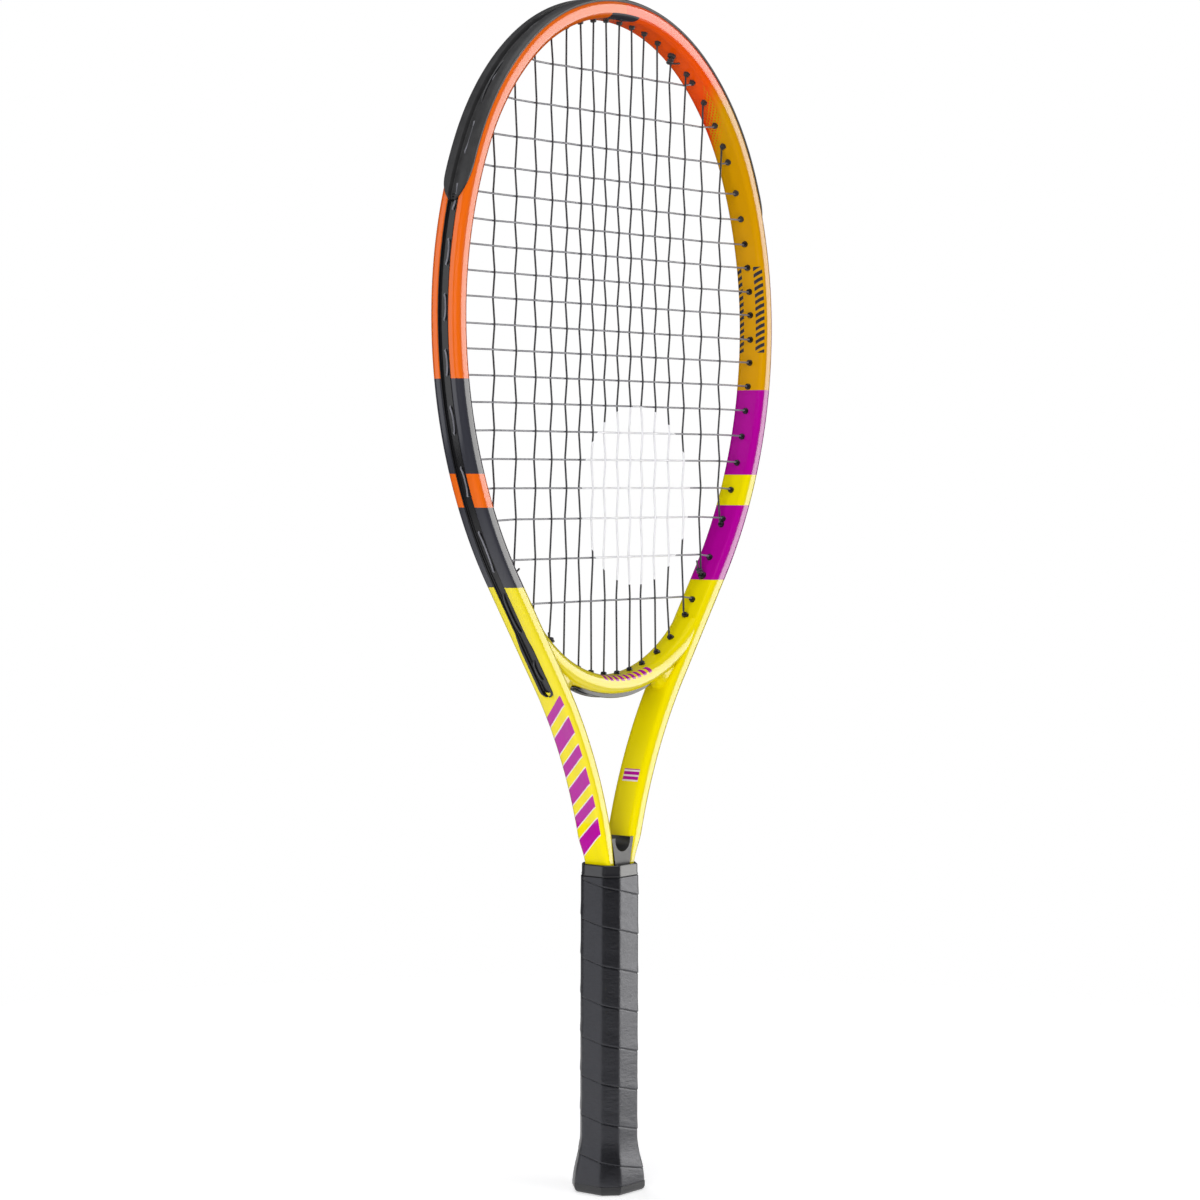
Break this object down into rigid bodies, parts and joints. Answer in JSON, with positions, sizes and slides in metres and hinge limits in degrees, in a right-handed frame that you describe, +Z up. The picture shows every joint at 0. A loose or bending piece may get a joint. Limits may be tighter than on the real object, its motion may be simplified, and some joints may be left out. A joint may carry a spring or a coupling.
{
  "type": "tennis racket",
  "caption": "Strung junior tennis racket: hollow frame with throat bridge, bumper and grommet strips, woven string bed, octagonal wrapped grip and butt cap with a pull-out hatch.",
  "frame": {"origin": "middle of the butt cap's end face, the lowest level of the racket held head up", "axes": "+Z up the handle to the head, +X across the head, +Y square to the string bed"},
  "size_m": [0.2736, 0.0332, 0.6345],
  "materials": {
    "painted_composite": "glossy paint on carbon composite, orange at the top, amber and yellow below, with magenta and black bands",
    "moulded_black": "satin moulded plastic",
    "guard_plastic": "matt charcoal nylon",
    "grommet_plastic": "satin black nylon",
    "string_polymer": "smooth dark grey monofilament",
    "pallet_foam": "moulded foam",
    "damping_foam": "open foam",
    "cap_plastic": "matt moulded plastic",
    "staple_steel": "drawn wire",
    "grip_leather": "black synthetic leather with a satin sheen, wound in a spiral",
    "collar_rubber": "smooth black rubber"
  },
  "bodies": {
    "racket": {"frame_tube": "painted_composite", "throat_bridge": "painted_composite", "throat_plug": "moulded_black", "bumper_guard": "guard_plastic", "grommet_strip_left": "grommet_plastic", "grommet_strip_right": "grommet_plastic", "throat_grommet_strip": "grommet_plastic", "main_string": "string_polymer", "cross_string": "string_polymer", "handle_pallet_front": "pallet_foam", "handle_pallet_back": "pallet_foam", "tube_end_plugs": "damping_foam", "butt_cap": "cap_plastic", "butt_cap_staples": "staple_steel", "grip_wrap": "grip_leather", "grip_collar": "collar_rubber"},
    "hatch": {"trap_door": "cap_plastic"}
  },
  "joints": [
    {"name": "hatch_slide", "type": "slide", "parent": "racket", "child": "hatch", "axis": [0, 0, -1], "range_m": [0, 0.012]}
  ]
}
